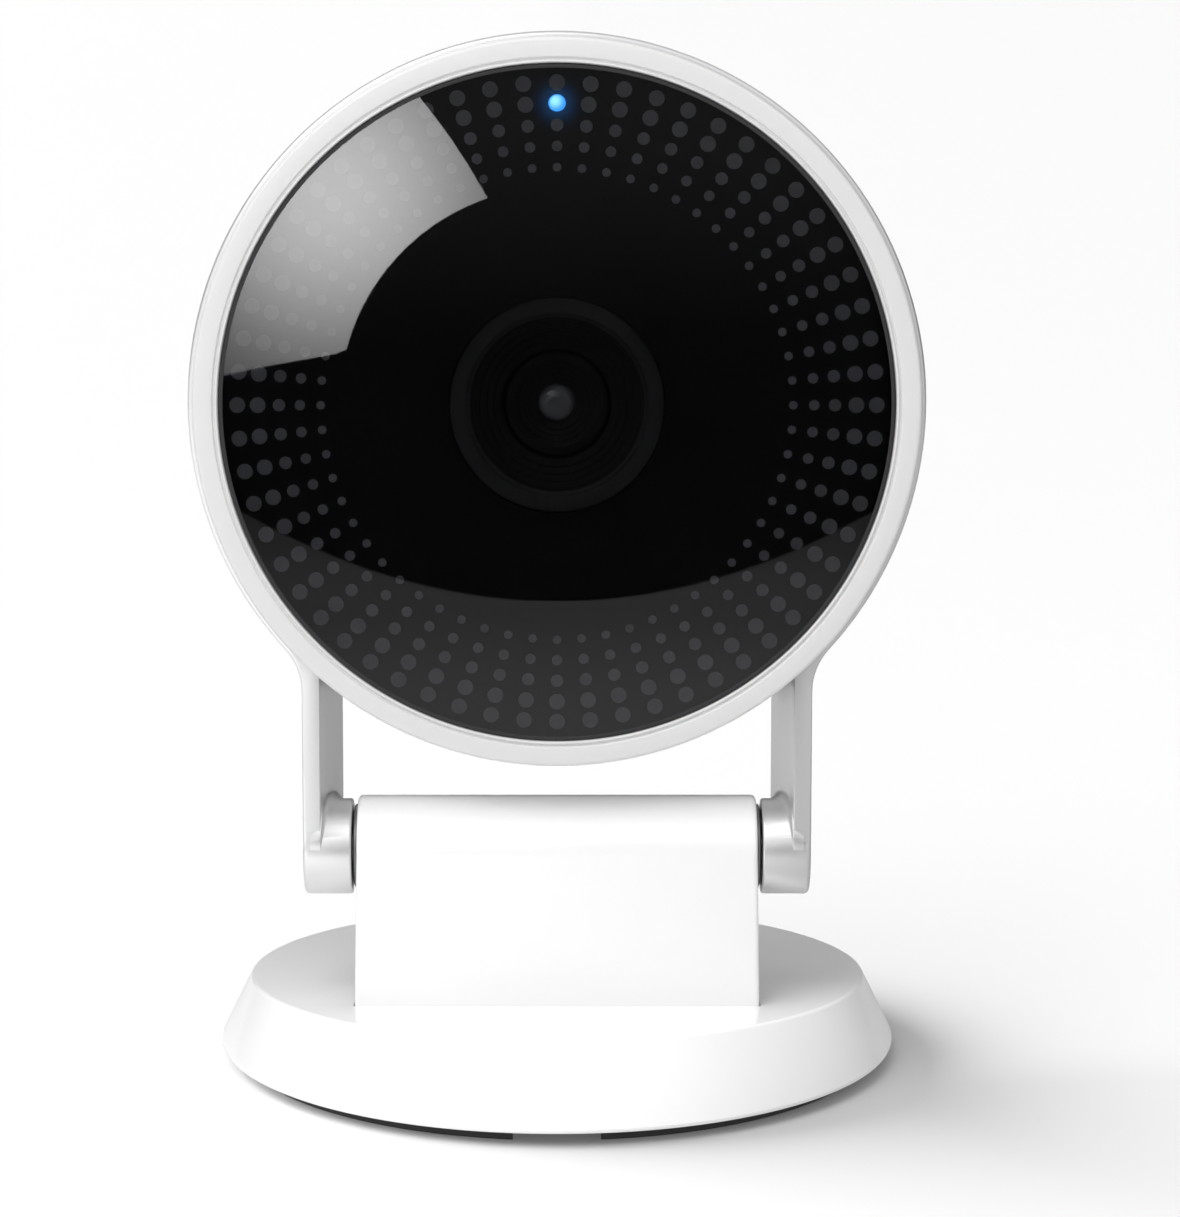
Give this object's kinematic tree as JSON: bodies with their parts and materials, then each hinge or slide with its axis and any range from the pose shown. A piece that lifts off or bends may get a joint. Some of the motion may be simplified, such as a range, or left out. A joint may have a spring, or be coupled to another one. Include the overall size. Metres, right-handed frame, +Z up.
{
  "type": "security camera",
  "caption": "Round-faced indoor camera: a white-rimmed dark glass face in a silver yoke that tilts on a white neck and a round weighted base.",
  "frame": {"origin": "centre of the base on the table surface, under the rubber foot", "axes": "+Z up; the lens faces -Y; +X to the right of someone facing the same way as +Y, looking at the glass"},
  "size_m": [0.0816, 0.0786, 0.1185],
  "materials": {
    "white_stand": "white moulded plastic, soft gloss",
    "white_casing": "white moulded plastic, satin gloss",
    "satin_silver": "die cast, fine bead-blasted silver finish",
    "tinted_glass": "dark tinted domed glass, polished",
    "printed_mask": "black printed film with rings of grey dots",
    "black_plastic": "black moulded plastic, matt",
    "lens_glass": "coated optical glass",
    "ir_filter_glass": "coated filter glass",
    "foot_rubber": "dark grey rubber, matt",
    "seal_rubber": "black rubber",
    "steel_fasteners": "zinc plated steel",
    "steel_sheet": "plated sheet steel",
    "zinc_core": "cast light alloy, as cast",
    "bronze": "sintered bronze",
    "copper": "copper",
    "grey_nylon": "grey nylon",
    "circuit_board": "green solder mask",
    "amber_flex": "amber polyimide",
    "chip_black": "black epoxy",
    "heat_sink_metal": "extruded aluminium",
    "ir_lamp": "dark violet epoxy",
    "blue_light": "clear acrylic with a blue glow"
  },
  "bodies": {
    "stand": {"rubber_foot": "foot_rubber", "base_plate": "black_plastic", "base_screws": "steel_fasteners", "ballast_weight": "steel_sheet", "base_cover": "white_stand", "neck_core": "zinc_core", "neck_screws": "steel_fasteners", "neck_shell": "white_stand", "hinge_bushes": "bronze", "hinge_collars": "grey_nylon", "spring_washers": "steel_fasteners"},
    "head": {"yoke_frame": "satin_silver", "hinge_pin_left": "steel_fasteners", "hinge_pin_right": "steel_fasteners", "hinge_nuts": "steel_fasteners", "boss_caps": "satin_silver", "yoke_screws": "steel_fasteners", "mid_frame": "white_casing", "bezel_ring": "white_casing", "rear_shell": "white_casing", "rear_screws": "steel_fasteners", "front_glass": "tinted_glass", "dot_mask": "printed_mask", "front_frame": "black_plastic", "lens_trim": "black_plastic", "lens_barrel": "black_plastic", "lens_front": "lens_glass", "lens_middle": "lens_glass", "lens_rear": "lens_glass", "lens_retainer": "black_plastic", "lens_holder": "black_plastic", "lens_screws": "steel_fasteners", "filter_coil": "copper", "image_sensor": "chip_black", "sensor_board": "circuit_board", "sensor_flex": "amber_flex", "led_board": "circuit_board", "led_board_screws": "steel_fasteners", "ir_leds": "ir_lamp", "status_led": "blue_light", "light_pipe": "blue_light", "led_flex": "amber_flex", "main_board": "circuit_board", "board_screws": "steel_fasteners", "main_chip": "chip_black", "heat_sink": "heat_sink_metal", "rf_shield": "steel_sheet", "wifi_antenna": "copper", "microphone": "steel_sheet", "mic_boot": "seal_rubber", "speaker": "black_plastic", "speaker_gasket": "seal_rubber", "usb_socket": "steel_sheet", "card_socket": "steel_sheet", "reset_switch": "chip_black"},
    "filter": {"filter_carriage": "black_plastic", "ir_cut_filter": "ir_filter_glass", "clear_filter": "lens_glass"},
    "card": {"memory_card": "black_plastic"},
    "reset": {"reset_button": "grey_nylon"}
  },
  "joints": [
    {"name": "head_tilt", "type": "hinge", "parent": "stand", "child": "head", "pos_m": [0, -0.013, 0.0271], "axis": [1, 0, 0], "range_deg": [-80, 85]},
    {"name": "filter_shift", "type": "slide", "parent": "head", "child": "filter", "axis": [-1, 0, 0], "range_m": [0, 0.0062]},
    {"name": "card_slide", "type": "slide", "parent": "head", "child": "card", "axis": [-1, 0, 0], "range_m": [0, 0.013]},
    {"name": "reset_press", "type": "slide", "parent": "head", "child": "reset", "axis": [0, -0.9986, 0.0523], "range_m": [0, 0.0006], "stiffness_N_per_m": 1500}
  ]
}
